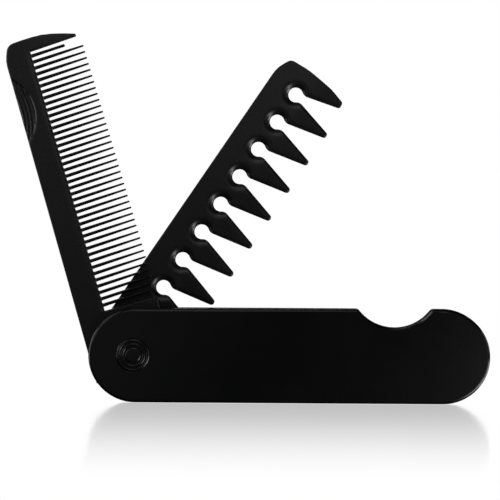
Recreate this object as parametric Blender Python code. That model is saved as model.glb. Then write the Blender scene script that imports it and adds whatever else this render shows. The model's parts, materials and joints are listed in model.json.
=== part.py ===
"""Folding pocket comb with a fine blade and a wide blade, standing open on the long edge of its case.

Metres, +Z up. The case lies along X and its front face looks along -Y. The origin is the middle of the
flat edge that the case stands on. Both blades turn about one pin near the case's left end, fold clockwise
into the case with their teeth first, and stop in line with the case at the far end of their swing.
"""

import math

import bmesh
import bpy

MM = 0.001

# Case: a tray with the wall that joins the two sides, and a plate that closes its back
END_RADIUS = 14.1 * MM
CENTRE_SPAN = 92.0 * MM
SIDE_THICKNESS = 2.4 * MM
WALL_THICKNESS = 2.0 * MM
WALL_END_DEG = 40.0
EDGE_ROUNDING = 1.3 * MM
SEAM_GAP = 0.3 * MM

# Thumb notch in the case's top edge, a round bite with softened lips
NOTCH_RADIUS = 13.5 * MM
NOTCH_FROM_RIGHT = 14.35 * MM
NOTCH_RISE = 21.95 * MM
LIP_RADIUS = 1.5 * MM

# Blades: side by side between the case's sides, the fine one in front
BLADE_THICKNESS = 3.0 * MM
RUNNING_GAP = 0.4 * MM

# Heel of each blade, round its pin: the spine ends in a square shoulder that stops the swing
HEEL_RADIUS = 11.5 * MM
SHOULDER = 5.3 * MM
STOP_GAP = 0.3 * MM
HEEL_CORNER = 1.2 * MM

# Pivot pin: a rivet whose two ringed heads sit flush in pockets of the case
PIVOT_FROM_LEFT = 0.75 * MM
SHAFT_RADIUS = 3.0 * MM
SHAFT_CLEARANCE = 0.25 * MM
HEAD_RADIUS = 4.75 * MM
HEAD_THICKNESS = 1.2 * MM
HEAD_CLEARANCE = 0.3 * MM
RING_RADII = (2.2 * MM, 3.55 * MM)
RING_DEPTH = 0.25 * MM
RING_HALF_WIDTH = 0.25 * MM

# Fine blade, sizes along the blade from its pin and across it towards the spine
FINE_OPEN_DEG = 106.1
FINE_SPINE = 12.85 * MM
FINE_HEEL_END = 15.0 * MM
FINE_ROOT = 4.6 * MM
FINE_ROOT_RISE = 0.45 * MM
FINE_TEETH = 41
FINE_FIRST_TOOTH = 16.72 * MM
FINE_NEAR_TEETH = 10
FINE_NEAR_PITCH = 1.964 * MM
FINE_PITCH = 1.869 * MM
FINE_TIP_NEAR = 11.75 * MM
FINE_TIP_FAR = 10.85 * MM
FINE_SHORT_TOOTH = 94.3 * MM
FINE_SHORT_TIP = 5.45 * MM
TOOTH_ROOT_WIDTH = 0.95 * MM
TOOTH_TIP_WIDTH = 0.56 * MM
TOOTH_TIP_ROUNDING = 0.18 * MM
TOOTH_LEAN_DEG = 2.6
TOOTH_TIP_THICKNESS = 1.5 * MM
TAPER_BELOW_ROOT = 0.4 * MM
GAP_ROUNDING = 0.3 * MM
SPINE_CHAMFER = 0.4 * MM
FINE_GUARD_INNER = 95.6 * MM

# End guard of the fine blade, corners in rows of (along, across, rounding, steps)
FINE_GUARD = (
    (96.70 * MM, -9.45 * MM, 0.45 * MM, 2),
    (97.55 * MM, -9.30 * MM, 0.45 * MM, 2),
    (99.00 * MM, -4.90 * MM, 12.0 * MM, 2),
    (99.85 * MM, 3.00 * MM, 20.0 * MM, 3),
    (99.35 * MM, 11.05 * MM, 1.0 * MM, 3),
    (94.80 * MM, FINE_SPINE, 6.0 * MM, 3),
)

# Thumb recess in the fine blade's front, a segment of a circle with ribs along the spine
RECESS_AT = 79.8 * MM
RECESS_HALF_LENGTH = 11.1 * MM
RECESS_WIDTH = 5.3 * MM
RECESS_DEPTH = 0.8 * MM
RIBS = 4
FIRST_RIB_DROP = 1.3 * MM
RIB_SPACING = 1.0 * MM
RIB_WIDTH = 0.45 * MM
RIB_HEIGHT = 0.45 * MM

# Wide blade: round holes that open through necks into flaring slots, with pointed teeth between them
WIDE_OPEN_DEG = 55.9
WIDE_SPINE = 13.15 * MM
WIDE_GAPS = 8
WIDE_PITCH = 10.16 * MM
WIDE_PITCH_FALL = 0.05 * MM
WIDE_FIRST_HOLE = 21.7 * MM
HOLE_RADIUS = 2.25 * MM
HOLE_RISE = 3.9 * MM
SLOT_HALF_WIDTH = 1.60 * MM
SLOT_FLARE = 0.248
SLOT_LEAN_NEAR = 0.052
SLOT_LEAN_FAR = 0.009
NECK_ROUNDING = 2.4 * MM
WIDE_TIP_NEAR = 11.2 * MM
WIDE_TIP_FAR = 10.6 * MM
WIDE_CHAMFER = 0.45 * MM

# End guard of the wide blade, corners in rows of (along, across, rounding, steps)
WIDE_GUARD = (
    (95.80 * MM, -9.35 * MM, 0.8 * MM, 3),
    (97.75 * MM, -9.15 * MM, 0.9 * MM, 3),
    (99.25 * MM, -4.00 * MM, 14.0 * MM, 2),
    (100.15 * MM, 4.50 * MM, 20.0 * MM, 3),
    (99.75 * MM, 11.05 * MM, 1.0 * MM, 3),
    (95.30 * MM, WIDE_SPINE, 4.0 * MM, 2),
)

# Worked out from the sizes above
CASE_DEPTH = 2 * SIDE_THICKNESS + 2 * BLADE_THICKNESS + 3 * RUNNING_GAP
FRONT = -CASE_DEPTH / 2
BACK = CASE_DEPTH / 2
INNER_FRONT = FRONT + SIDE_THICKNESS
INNER_BACK = BACK - SIDE_THICKNESS
FINE_FRONT = INNER_FRONT + RUNNING_GAP
FINE_BACK = FINE_FRONT + BLADE_THICKNESS
WIDE_FRONT = FINE_BACK + RUNNING_GAP
WIDE_BACK = WIDE_FRONT + BLADE_THICKNESS
AXIS_HEIGHT = END_RADIUS
LEFT_END = (-CENTRE_SPAN / 2, AXIS_HEIGHT)
RIGHT_END = (CENTRE_SPAN / 2, AXIS_HEIGHT)
PIVOT = (LEFT_END[0] - PIVOT_FROM_LEFT, 0.0, AXIS_HEIGHT)
WALL_START = PIVOT[0] + SHOULDER + STOP_GAP

END_STEPS = 24
ROUND_STEPS = 32


def material(name, colour, roughness):
    """A plain moulded plastic."""
    made = bpy.data.materials.new(name)
    made.use_nodes = True
    surface = made.node_tree.nodes["Principled BSDF"]
    surface.inputs["Base Color"].default_value = (*colour, 1.0)
    surface.inputs["Roughness"].default_value = roughness
    surface.inputs["Metallic"].default_value = 0.0
    return made


def polar(start, distance, angle):
    """The point at a distance from another, in a direction in degrees."""
    turn = math.radians(angle)
    return (start[0] + distance * math.cos(turn), start[1] + distance * math.sin(turn))


def arc(centre, radius, start, stop, steps):
    """Points of an arc, from one angle in degrees to another."""
    return [polar(centre, radius, start + (stop - start) * i / steps) for i in range(steps + 1)]


def bearing(start, stop):
    """The direction from one point to another, in degrees."""
    return math.degrees(math.atan2(stop[1] - start[1], stop[0] - start[0]))


def rounded(before, corner, after, radius, steps):
    """Points of the arc that rounds a corner between its two neighbours."""
    heading = bearing(before, corner)
    turn = (bearing(corner, after) - heading + 180) % 360 - 180
    side = math.copysign(90, turn)
    reach = radius * math.tan(math.radians(abs(turn)) / 2)
    start = polar(corner, reach, heading + 180)
    centre = polar(start, radius, heading + side)
    return arc(centre, radius, heading - side, heading - side + turn, steps)


def softened(corners):
    """An outline from rows of (x, z) or (x, z, radius, steps), with the longer rows rounded."""
    points = []
    for i, row in enumerate(corners):
        before = corners[i - 1][:2]
        after = corners[(i + 1) % len(corners)][:2]
        points += rounded(before, row[:2], after, *row[2:]) if len(row) > 2 else [row]
    return points


def prism(outline, front, back):
    """A closed mesh between two planes, from an outline that runs anticlockwise seen from the front."""
    mesh = bmesh.new()
    near = [mesh.verts.new((x, front, z)) for x, z in outline]
    far = [mesh.verts.new((x, back, z)) for x, z in outline]
    mesh.faces.new(near)
    mesh.faces.new(far[::-1])
    for i in range(len(outline)):
        mesh.faces.new((near[i], near[i - 1], far[i - 1], far[i]))
    mesh.normal_update()
    return mesh


def bevel_outline(mesh, plane, width, segments, lowest=-math.inf):
    """Bevels the prism's outline in one of its two planes, where it is higher than a given height."""
    chosen = [
        edge
        for edge in mesh.edges
        if all(abs(v.co.y - plane) < 1e-7 and v.co.z > lowest for v in edge.verts)
    ]
    bmesh.ops.bevel(mesh, geom=chosen, offset=width, segments=segments, profile=0.5, affect="EDGES")


def turned(profile, steps):
    """A closed mesh turned about the Y axis, from rows of (radius, y) that start and end on the axis."""
    mesh = bmesh.new()
    rings = []
    for radius, y in profile:
        around = arc((0.0, 0.0), radius, 0, 360, steps)[:-1] if radius else [(0.0, 0.0)]
        rings.append([mesh.verts.new((x, y, z)) for x, z in around])
    for one, other in zip(rings, rings[1:]):
        for i in range(steps):
            j = (i + 1) % steps
            corners = (one[i % len(one)], one[j % len(one)], other[j % len(other)], other[i % len(other)])
            mesh.faces.new(list(dict.fromkeys(corners)))
    bmesh.ops.recalc_face_normals(mesh, faces=mesh.faces)
    return mesh


def add_object(name, mesh, finish=None, location=(0.0, 0.0, 0.0), open_deg=0.0):
    """Puts a mesh in the scene, opened anticlockwise about its own origin as seen from the front."""
    data = bpy.data.meshes.new(name)
    mesh.to_mesh(data)
    mesh.free()
    data.shade_smooth()
    data.set_sharp_from_angle(angle=math.radians(35))
    if finish:
        data.materials.append(finish)
    made = bpy.data.objects.new(name, data)
    made.location = location
    made.rotation_euler = (0.0, -math.radians(open_deg), 0.0)
    bpy.context.scene.collection.objects.link(made)
    return made


def add_cutter(name, mesh, location=(0.0, 0.0, 0.0), parent=None):
    """An object that only cuts others."""
    made = add_object(name, mesh, location=location)
    made.hide_render = True
    made.display_type = "WIRE"
    made.parent = parent
    return made


def cut(target, cutter):
    """Takes the cutter out of the target."""
    step = target.modifiers.new(cutter.name, "BOOLEAN")
    step.operation = "DIFFERENCE"
    step.solver = "EXACT"
    step.object = cutter


def case_outline():
    """The case from the front: a stadium whose top edge has the thumb notch near its right end."""
    top = AXIS_HEIGHT + END_RADIUS
    notch = (RIGHT_END[0] - NOTCH_FROM_RIGHT, AXIS_HEIGHT + NOTCH_RISE)
    lip_drop = notch[1] - (top - LIP_RADIUS)
    lip_reach = math.sqrt((NOTCH_RADIUS + LIP_RADIUS) ** 2 - lip_drop**2)
    lip_deg = math.degrees(math.atan2(lip_drop, lip_reach))
    right_lip = (notch[0] + lip_reach, top - LIP_RADIUS)
    left_lip = (notch[0] - lip_reach, top - LIP_RADIUS)
    return [
        *arc(RIGHT_END, END_RADIUS, -90, 90, END_STEPS),
        *arc(right_lip, LIP_RADIUS, 90, 180 - lip_deg, 4),
        *arc(notch, NOTCH_RADIUS, 360 - lip_deg, 180 + lip_deg, 12)[1:-1],
        *arc(left_lip, LIP_RADIUS, lip_deg, 90, 4),
        *arc(LEFT_END, END_RADIUS, 90, 270, END_STEPS),
    ]


def slot_cutter():
    """The room for the blades: all that lies inside the wall, open at the top and at the left end."""
    far_left = 2 * LEFT_END[0]
    far_right = 2 * RIGHT_END[0]
    far_top = 4 * END_RADIUS
    outline = [
        (far_left, -END_RADIUS),
        (WALL_START, -END_RADIUS),
        (WALL_START, WALL_THICKNESS),
        *arc(RIGHT_END, END_RADIUS - WALL_THICKNESS, -90, WALL_END_DEG, 16),
        polar(RIGHT_END, 2 * END_RADIUS, WALL_END_DEG),
        (far_right, far_top),
        (far_left, far_top),
    ]
    return add_cutter("slot_cutter", prism(outline, INNER_FRONT, BACK))


def pin_cutter():
    """The pin's bore through case and blades, with a pocket for a head in each side of the case."""
    pocket_radius = HEAD_RADIUS + HEAD_CLEARANCE
    pocket_floor = FRONT + HEAD_THICKNESS + HEAD_CLEARANCE
    half = [
        (0.0, FRONT - MM),
        (pocket_radius, FRONT - MM),
        (pocket_radius, pocket_floor),
        (SHAFT_RADIUS + SHAFT_CLEARANCE, pocket_floor),
    ]
    profile = half + [(radius, -y) for radius, y in reversed(half)]
    return add_cutter("pin_cutter", turned(profile, ROUND_STEPS), PIVOT)


def case_front(finish, slot, bore):
    """The tray: the front side, with the wall along the bottom and up the right end."""
    mesh = prism(case_outline(), FRONT, INNER_BACK - SEAM_GAP)
    bevel_outline(mesh, FRONT, EDGE_ROUNDING, 3)
    tray = add_object("case_front", mesh, finish)
    cut(tray, slot)
    cut(tray, bore)


def case_back(finish, bore):
    """The plate that closes the tray's back, with the same outline."""
    mesh = prism(case_outline(), INNER_BACK, BACK)
    bevel_outline(mesh, BACK, EDGE_ROUNDING, 3)
    cut(add_object("case_back", mesh, finish), bore)


def pivot_pin(finish):
    """The rivet: a shaft between two heads, each with ring grooves and a softened rim."""
    head = [(0.0, FRONT)]
    for ring in RING_RADII:
        head += [(ring - RING_HALF_WIDTH, FRONT), (ring, FRONT + RING_DEPTH), (ring + RING_HALF_WIDTH, FRONT)]
    head += [
        (HEAD_RADIUS - RING_HALF_WIDTH, FRONT),
        (HEAD_RADIUS, FRONT + RING_HALF_WIDTH),
        (HEAD_RADIUS, FRONT + HEAD_THICKNESS),
        (SHAFT_RADIUS, FRONT + HEAD_THICKNESS),
    ]
    profile = head + [(radius, -y) for radius, y in reversed(head)]
    add_object("pivot_pin", turned(profile, ROUND_STEPS), finish, PIVOT)


def heel(spine, heel_end):
    """Outline rows round a blade's pin, from the end of its spine to the lower corner of its heel."""
    meeting = math.degrees(math.acos(SHOULDER / HEEL_RADIUS))
    return [
        (-SHOULDER, spine),
        *arc((0.0, 0.0), HEEL_RADIUS, 180 - meeting, 270, 14),
        (heel_end, -HEEL_RADIUS, HEEL_CORNER, 3),
    ]


def fine_teeth():
    """Rows of (place at the root, tip height), the last tooth short."""
    rows = []
    place = FINE_FIRST_TOOTH
    for k in range(FINE_TEETH):
        fall = (FINE_TIP_NEAR - FINE_TIP_FAR) * k / (FINE_TEETH - 1)
        rows.append((place, fall - FINE_TIP_NEAR))
        place += FINE_NEAR_PITCH if k < FINE_NEAR_TEETH else FINE_PITCH
    return [*rows, (FINE_SHORT_TOOTH, -FINE_SHORT_TIP)]


def fine_outline():
    """The fine blade from the front as it lies folded: spine up, teeth down, pin at (0, 0)."""
    root_half = TOOTH_ROOT_WIDTH / 2
    tip_half = TOOTH_TIP_WIDTH / 2
    rows = heel(FINE_SPINE, FINE_HEEL_END)
    gap_start = FINE_HEEL_END
    for place, tip in fine_teeth():
        root = FINE_ROOT + FINE_ROOT_RISE * place / FINE_SHORT_TOOTH
        tip_at = place + math.tan(math.radians(TOOTH_LEAN_DEG)) * (root - tip)
        rows += [
            (gap_start, root, GAP_ROUNDING, 2),
            (place - root_half, root, GAP_ROUNDING, 2),
            (tip_at - tip_half, tip, TOOTH_TIP_ROUNDING, 1),
            (tip_at + tip_half, tip, TOOTH_TIP_ROUNDING, 1),
        ]
        gap_start = place + root_half
    root = FINE_ROOT + FINE_ROOT_RISE
    last_gap = [(gap_start, root, GAP_ROUNDING, 2), (FINE_GUARD_INNER, root, GAP_ROUNDING, 2)]
    return softened([*rows, *last_gap, *FINE_GUARD])


def thumb_recess(blade):
    """Cuts the ribbed recess for the thumb out of the front of the fine blade's spine."""
    radius = (RECESS_HALF_LENGTH**2 + RECESS_WIDTH**2) / (2 * RECESS_WIDTH)
    centre = (RECESS_AT, FINE_SPINE - RECESS_WIDTH + radius)
    rim = math.degrees(math.asin((centre[1] - FINE_SPINE - MM) / radius))
    floor = FINE_FRONT + RECESS_DEPTH
    recess = add_cutter(
        "recess_cutter",
        prism(arc(centre, radius, 180 + rim, 360 - rim, 16), FINE_FRONT - MM, floor),
        parent=blade,
    )
    ribs = bmesh.new()
    for k in range(RIBS):
        height = FINE_SPINE - FIRST_RIB_DROP - k * RIB_SPACING
        bar = [
            (RECESS_AT - 2 * RECESS_HALF_LENGTH, height - RIB_WIDTH / 2),
            (RECESS_AT + 2 * RECESS_HALF_LENGTH, height - RIB_WIDTH / 2),
            (RECESS_AT + 2 * RECESS_HALF_LENGTH, height + RIB_WIDTH / 2),
            (RECESS_AT - 2 * RECESS_HALF_LENGTH, height + RIB_WIDTH / 2),
        ]
        one = prism(bar, floor - RIB_HEIGHT, floor + MM)
        rib = bpy.data.meshes.new("rib")
        one.to_mesh(rib)
        one.free()
        ribs.from_mesh(rib)
        bpy.data.meshes.remove(rib)
    cut(recess, add_cutter("recess_ribs", ribs, parent=blade))
    cut(blade, recess)


def fine_comb(finish, bore):
    """The front blade: its teeth thin towards their tips in width and in thickness."""
    mesh = prism(fine_outline(), FINE_FRONT, FINE_BACK)
    for plane in (FINE_FRONT, FINE_BACK):
        bevel_outline(mesh, plane, SPINE_CHAMFER, 1, FINE_ROOT + MM)
    taper_start = FINE_ROOT - TAPER_BELOW_ROOT
    bmesh.ops.bisect_plane(
        mesh,
        geom=[*mesh.verts, *mesh.edges, *mesh.faces],
        dist=1e-7,
        plane_co=(0.0, 0.0, taper_start),
        plane_no=(0.0, 0.0, 1.0),
    )
    middle = (FINE_FRONT + FINE_BACK) / 2
    loss = (1 - TOOTH_TIP_THICKNESS / BLADE_THICKNESS) / (taper_start + FINE_TIP_NEAR)
    for vertex in mesh.verts:
        if vertex.co.x > FINE_HEEL_END + GAP_ROUNDING and vertex.co.z < taper_start:
            share = 1 - loss * (taper_start - vertex.co.z)
            vertex.co.y = middle + (vertex.co.y - middle) * share
    blade = add_object("fine_comb", mesh, finish, PIVOT, FINE_OPEN_DEG)
    thumb_recess(blade)
    cut(blade, bore)


def wide_gap_place(k):
    """How far along the blade a gap's hole lies, and the lean of its slot."""
    place = WIDE_FIRST_HOLE + k * WIDE_PITCH - WIDE_PITCH_FALL * k * (k - 1) / 2
    return place, SLOT_LEAN_NEAR + (SLOT_LEAN_FAR - SLOT_LEAN_NEAR) * k / (WIDE_GAPS - 1)


def wide_gap(k):
    """Points of one hole with its neck, from the slot's left edge over the top to its right edge."""
    place, lean = wide_gap_place(k)
    hole = (place, HOLE_RISE)
    shoulders = []
    for side in (-1, 1):
        slope = side * SLOT_FLARE - lean
        length = math.hypot(1, slope)
        up = (-slope / length, 1 / length)
        inward = (side / length, side * slope / length)
        start = (hole[0] + side * SLOT_HALF_WIDTH + NECK_ROUNDING * inward[0], NECK_ROUNDING * inward[1])
        away = (start[0] - hole[0], start[1] - hole[1])
        along = away[0] * up[0] + away[1] * up[1]
        apart = (HOLE_RADIUS + NECK_ROUNDING) ** 2 - away[0] ** 2 - away[1] ** 2
        rise = -along - math.sqrt(along**2 + apart)
        centre = (start[0] + rise * up[0], start[1] + rise * up[1])
        foot = (centre[0] - NECK_ROUNDING * inward[0], centre[1] - NECK_ROUNDING * inward[1])
        shoulders.append((centre, bearing(centre, foot) % 360, bearing(centre, hole) % 360))
    (left, left_foot, left_top), (right, right_foot, right_top) = shoulders
    return [
        *arc(left, NECK_ROUNDING, left_foot - 360, left_top, 3),
        *arc(hole, HOLE_RADIUS, left_top + 180, right_top - 180, 12)[1:-1],
        *arc(right, NECK_ROUNDING, right_top, right_foot, 3),
    ]


def wide_tooth(k):
    """The rounded point between gap k and the next one, as one outline row."""
    (left, left_lean), (right, right_lean) = wide_gap_place(k), wide_gap_place(k + 1)
    left += SLOT_HALF_WIDTH
    right -= SLOT_HALF_WIDTH
    left_slope = SLOT_FLARE - left_lean
    right_slope = -SLOT_FLARE - right_lean
    depth = (right - left) / (left_slope - right_slope)
    half_angle = (math.atan(left_slope) - math.atan(right_slope)) / 2
    tip = WIDE_TIP_NEAR + (WIDE_TIP_FAR - WIDE_TIP_NEAR) * k / (WIDE_GAPS - 1)
    radius = (depth - tip) / (1 / math.sin(half_angle) - 1)
    return (left + left_slope * depth, -depth, radius, 4)


def wide_outline():
    """The wide blade from the front as it lies folded: spine up, teeth down, pin at (0, 0)."""
    first_slope = SLOT_FLARE + SLOT_LEAN_NEAR
    heel_end = WIDE_FIRST_HOLE - SLOT_HALF_WIDTH - first_slope * HEEL_RADIUS
    rows = heel(WIDE_SPINE, heel_end)
    for k in range(WIDE_GAPS):
        rows += wide_gap(k)
        if k < WIDE_GAPS - 1:
            rows.append(wide_tooth(k))
    return softened([*rows, *WIDE_GUARD])


def wide_comb(finish, bore):
    """The rear blade, with softened edges all round."""
    mesh = prism(wide_outline(), WIDE_FRONT, WIDE_BACK)
    for plane in (WIDE_FRONT, WIDE_BACK):
        bevel_outline(mesh, plane, WIDE_CHAMFER, 1)
    blade = add_object("wide_comb", mesh, finish, PIVOT, WIDE_OPEN_DEG)
    cut(blade, bore)


for old in list(bpy.data.objects):
    bpy.data.objects.remove(old)

case_plastic = material("case_plastic", (0.008, 0.008, 0.009), 0.42)
blade_plastic = material("blade_plastic", (0.012, 0.012, 0.012), 0.36)
pin_plastic = material("pin_plastic", (0.008, 0.008, 0.009), 0.35)

slot = slot_cutter()
bore = pin_cutter()
case_front(case_plastic, slot, bore)
case_back(case_plastic, bore)
pivot_pin(pin_plastic)
fine_comb(blade_plastic, bore)
wide_comb(blade_plastic, bore)
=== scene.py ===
"""Folding pocket comb in black moulded plastic, open on the long edge of its case, under studio light."""

import json
import math

import bmesh
import bpy
from mathutils import Matrix, Vector
from mathutils.bvhtree import BVHTree
from mathutils.geometry import delaunay_2d_cdt


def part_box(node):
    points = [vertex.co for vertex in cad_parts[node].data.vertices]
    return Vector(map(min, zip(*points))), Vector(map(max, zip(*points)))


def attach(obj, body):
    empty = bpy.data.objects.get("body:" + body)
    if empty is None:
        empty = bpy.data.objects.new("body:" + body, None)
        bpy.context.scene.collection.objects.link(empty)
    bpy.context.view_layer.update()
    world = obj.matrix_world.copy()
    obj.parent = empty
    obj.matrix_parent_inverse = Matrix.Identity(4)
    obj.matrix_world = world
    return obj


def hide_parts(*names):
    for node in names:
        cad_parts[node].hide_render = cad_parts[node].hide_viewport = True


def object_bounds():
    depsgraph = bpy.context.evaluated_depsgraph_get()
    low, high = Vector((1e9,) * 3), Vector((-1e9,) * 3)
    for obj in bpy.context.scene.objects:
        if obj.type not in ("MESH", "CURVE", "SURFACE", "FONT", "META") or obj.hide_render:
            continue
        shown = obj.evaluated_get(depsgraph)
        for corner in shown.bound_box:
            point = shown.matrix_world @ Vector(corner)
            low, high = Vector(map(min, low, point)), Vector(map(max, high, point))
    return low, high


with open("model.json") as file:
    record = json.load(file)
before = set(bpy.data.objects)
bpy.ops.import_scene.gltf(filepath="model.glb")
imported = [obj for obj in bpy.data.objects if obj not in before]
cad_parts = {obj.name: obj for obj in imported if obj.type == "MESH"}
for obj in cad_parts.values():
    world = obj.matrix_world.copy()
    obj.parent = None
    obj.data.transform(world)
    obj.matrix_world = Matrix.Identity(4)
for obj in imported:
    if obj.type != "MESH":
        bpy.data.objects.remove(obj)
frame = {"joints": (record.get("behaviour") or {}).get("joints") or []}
cad_low, cad_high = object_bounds()

# The tray of the case: one injection moulding in black styrene, the front side with the wall that closes the
# bottom edge and the right end. Its front rim is rounded for the hand, the cut edges are only broken, and the
# mould's face has a fine satin grain.
MM = 0.001
tray_low, tray_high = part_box("case_front")
END_RADIUS = (tray_high.z - tray_low.z) / 2
LEFT_END = (tray_low.x + END_RADIUS, tray_low.z + END_RADIUS)
RIGHT_END = (tray_high.x - END_RADIUS, tray_low.z + END_RADIUS)
PIVOT = Vector(frame["joints"][0]["pos_m"])
FRONT = tray_low.y
SIDE_THICKNESS = 2.4 * MM
WELD_DEPTH = 0.16 * MM
TRAY_DEPTH = tray_high.y + WELD_DEPTH
WALL_THICKNESS = 2.0 * MM
WALL_END_DEG = 40.0
WALL_START = PIVOT.x + 5.6 * MM
FACE_ROUNDING = 0.9 * MM
NOTCH_ROUNDING = 0.45 * MM
ROUNDING_STEPS = 8
BROKEN_EDGE = 0.2 * MM
BROKEN_FROM_DEG = 60.0
NOTCH_RADIUS = 13.5 * MM
NOTCH = (RIGHT_END[0] - 14.35 * MM, RIGHT_END[1] + 21.95 * MM)
LIP_RADIUS = 1.5 * MM
HEAD_RADIUS = 4.95 * MM
HEAD_SEAT = 1.5 * MM
HEAD_CLEARANCE = 0.03 * MM
SEAT_MOUTH = 0.1 * MM
SHAFT_RADIUS = 3.0 * MM


def polar(start, distance, angle):
    """The point at a distance from another, in a direction in degrees."""
    turn = math.radians(angle)
    return (start[0] + distance * math.cos(turn), start[1] + distance * math.sin(turn))


def arc(centre, radius, start, stop, step_deg=3.0):
    """Points of an arc, from one angle in degrees to another."""
    steps = max(2, math.ceil(abs(stop - start) / step_deg))
    return [polar(centre, radius, start + (stop - start) * i / steps) for i in range(steps + 1)]


def case_outline():
    """The stadium with the thumb notch in its top edge, anticlockwise from the start of the wall in its
    bottom edge, as the points of the wall's stretch and the points of the open stretch."""
    top = RIGHT_END[1] + END_RADIUS
    lip_drop = NOTCH[1] - (top - LIP_RADIUS)
    lip_reach = math.sqrt((NOTCH_RADIUS + LIP_RADIUS) ** 2 - lip_drop**2)
    lip_deg = math.degrees(math.atan2(lip_drop, lip_reach))
    right_lip = (NOTCH[0] + lip_reach, top - LIP_RADIUS)
    left_lip = (NOTCH[0] - lip_reach, top - LIP_RADIUS)
    walled = [(WALL_START, tray_low.z), *arc(RIGHT_END, END_RADIUS, -90, WALL_END_DEG)]
    opened = [
        *arc(RIGHT_END, END_RADIUS, WALL_END_DEG, 90)[1:],
        *arc(right_lip, LIP_RADIUS, 90, 180 - lip_deg, step_deg=12),
        *arc(NOTCH, NOTCH_RADIUS, 360 - lip_deg, 180 + lip_deg)[1:-1],
        *arc(left_lip, LIP_RADIUS, lip_deg, 90, step_deg=12),
        *arc(LEFT_END, END_RADIUS, 90, 270),
    ]
    return walled, opened


def inward(points, i):
    """The direction into an anticlockwise outline at one of its points."""
    here = Vector(points[i])
    one = (here - Vector(points[i - 1])).normalized()
    other = (Vector(points[(i + 1) % len(points)]) - here).normalized()
    return Vector((-one.y - other.y, one.x + other.x)).normalized()


def smooth(share):
    """An S curve from 0 to 1."""
    share = min(max(share, 0.0), 1.0)
    return share * share * (3 - 2 * share)


def rounded_face(mesh, outline, face, depthward):
    """A flat face of the case with its rounded rim, in rings from the outline inwards. In the notch the rim
    is a narrow flat chamfer. Gives back the outermost ring."""
    rings = []
    for step in range(ROUNDING_STEPS + 1):
        share = step / ROUNDING_STEPS
        turn = math.pi / 2 * share
        ring = []
        for i, (x, z) in enumerate(outline):
            from_lip = abs(x - NOTCH[0]) - NOTCH_RADIUS + 2 * LIP_RADIUS
            plain = smooth(from_lip / (2 * LIP_RADIUS)) if z > RIGHT_END[1] else 1.0
            radius = NOTCH_ROUNDING + (FACE_ROUNDING - NOTCH_ROUNDING) * plain
            along = plain * (1 - math.cos(turn)) + (1 - plain) * share
            inset = inward(outline, i) * radius * along
            y = face + depthward * radius * (1 - plain * math.sin(turn) - (1 - plain) * share)
            ring.append(mesh.verts.new((x + inset.x, y, z + inset.y)))
        rings.append(ring)
    for one, other in zip(rings, rings[1:]):
        for i in range(len(outline)):
            mesh.faces.new((one[i - 1], one[i], other[i], other[i - 1]))
    mesh.faces.new(rings[-1])
    return rings[0]


def finished(name, mesh, sharp_deg=35.0):
    """Puts a mesh in the scene, smooth but for its sharp edges."""
    data = bpy.data.meshes.new(name)
    mesh.to_mesh(data)
    mesh.free()
    data.shade_smooth()
    data.set_sharp_from_angle(angle=math.radians(sharp_deg))
    made = bpy.data.objects.new(name, data)
    bpy.context.scene.collection.objects.link(made)
    return made


def broken(mesh, edges):
    """Takes the sharpness off some edges of a mesh."""
    bmesh.ops.bevel(mesh, geom=edges, offset=BROKEN_EDGE, segments=3, profile=0.5, affect="EDGES")


def turned(profile, steps=96):
    """A closed mesh turned about the Y axis, from rows of (radius, y) that start and end on the axis."""
    mesh = bmesh.new()
    rings = []
    for radius, y in profile:
        around = arc((0.0, 0.0), radius, 0, 360, 360 / steps)[:-1] if radius else [(0.0, 0.0)]
        rings.append([mesh.verts.new((x, y, z)) for x, z in around])
    for one, other in zip(rings, rings[1:]):
        for i in range(steps):
            j = (i + 1) % steps
            near = (one[i % len(one)], one[j % len(one)])
            far = (other[j % len(other)], other[i % len(other)])
            mesh.faces.new(list(dict.fromkeys(near + far)))
    bmesh.ops.recalc_face_normals(mesh, faces=mesh.faces)
    return mesh


def bored(piece):
    """Cuts the pin's bore and the seats of its two heads out of a side of the case, with softened mouths."""
    seat = HEAD_RADIUS + HEAD_CLEARANCE
    mouth = arc((seat + SEAT_MOUTH, FRONT + SEAT_MOUTH), SEAT_MOUTH, 270, 180, step_deg=30)
    half = [(0.0, FRONT - MM), (seat + SEAT_MOUTH, FRONT - MM), *mouth]
    half += [(seat, FRONT + HEAD_SEAT), (SHAFT_RADIUS + HEAD_CLEARANCE, FRONT + HEAD_SEAT)]
    cutter = finished("bore", turned(half + [(radius, -y) for radius, y in reversed(half)]))
    cutter.location = PIVOT
    step = piece.modifiers.new("bore", "BOOLEAN")
    step.solver = "EXACT"
    step.object = cutter
    weights = piece.modifiers.new("flat_faces", "WEIGHTED_NORMAL")
    weights.keep_sharp = True
    bpy.context.view_layer.update()
    evaluated = piece.evaluated_get(bpy.context.evaluated_depsgraph_get())
    cut = bpy.data.meshes.new_from_object(evaluated)
    piece.modifiers.clear()
    piece.data = cut
    bpy.data.objects.remove(cutter)
    return piece


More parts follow.
